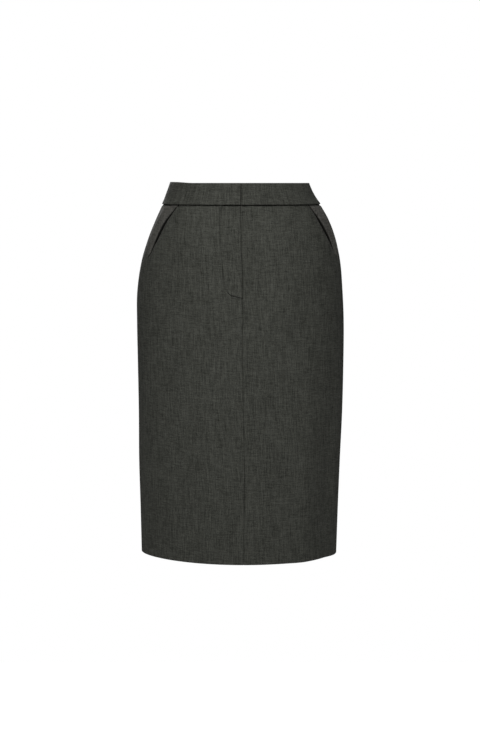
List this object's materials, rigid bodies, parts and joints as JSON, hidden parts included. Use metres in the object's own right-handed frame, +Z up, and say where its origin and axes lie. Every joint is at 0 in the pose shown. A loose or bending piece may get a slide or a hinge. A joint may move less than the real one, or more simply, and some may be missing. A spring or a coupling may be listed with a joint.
{
  "type": "pencil skirt",
  "caption": "Knee-length pencil skirt in dark suiting with a set-on waistband, fly front, slanted hip pockets and a back vent, hollow as when worn.",
  "frame": {"origin": "centre of the waist opening, level with the top edge of the waistband, on the line of the centre front and the centre back", "axes": "+Z up, out of the waist; the skirt's front faces -Y; +X is the wearer's left"},
  "size_m": [0.3443, 0.2457, 0.6204],
  "materials": {
    "suiting": "matt wool-type suiting, dark grey-green melange with fine crossed flecks",
    "suiting_behind_pocket": "the same suiting, a little lighter behind the pocket's mouth, with dark pocketing deep in the mouth"
  },
  "bodies": {
    "root": {"waistband": "suiting", "front_right": "suiting", "front_left": "suiting", "back_right": "suiting", "back_left": "suiting", "pocket_bearer_right": "suiting_behind_pocket", "pocket_bearer_left": "suiting_behind_pocket"}
  },
  "joints": []
}
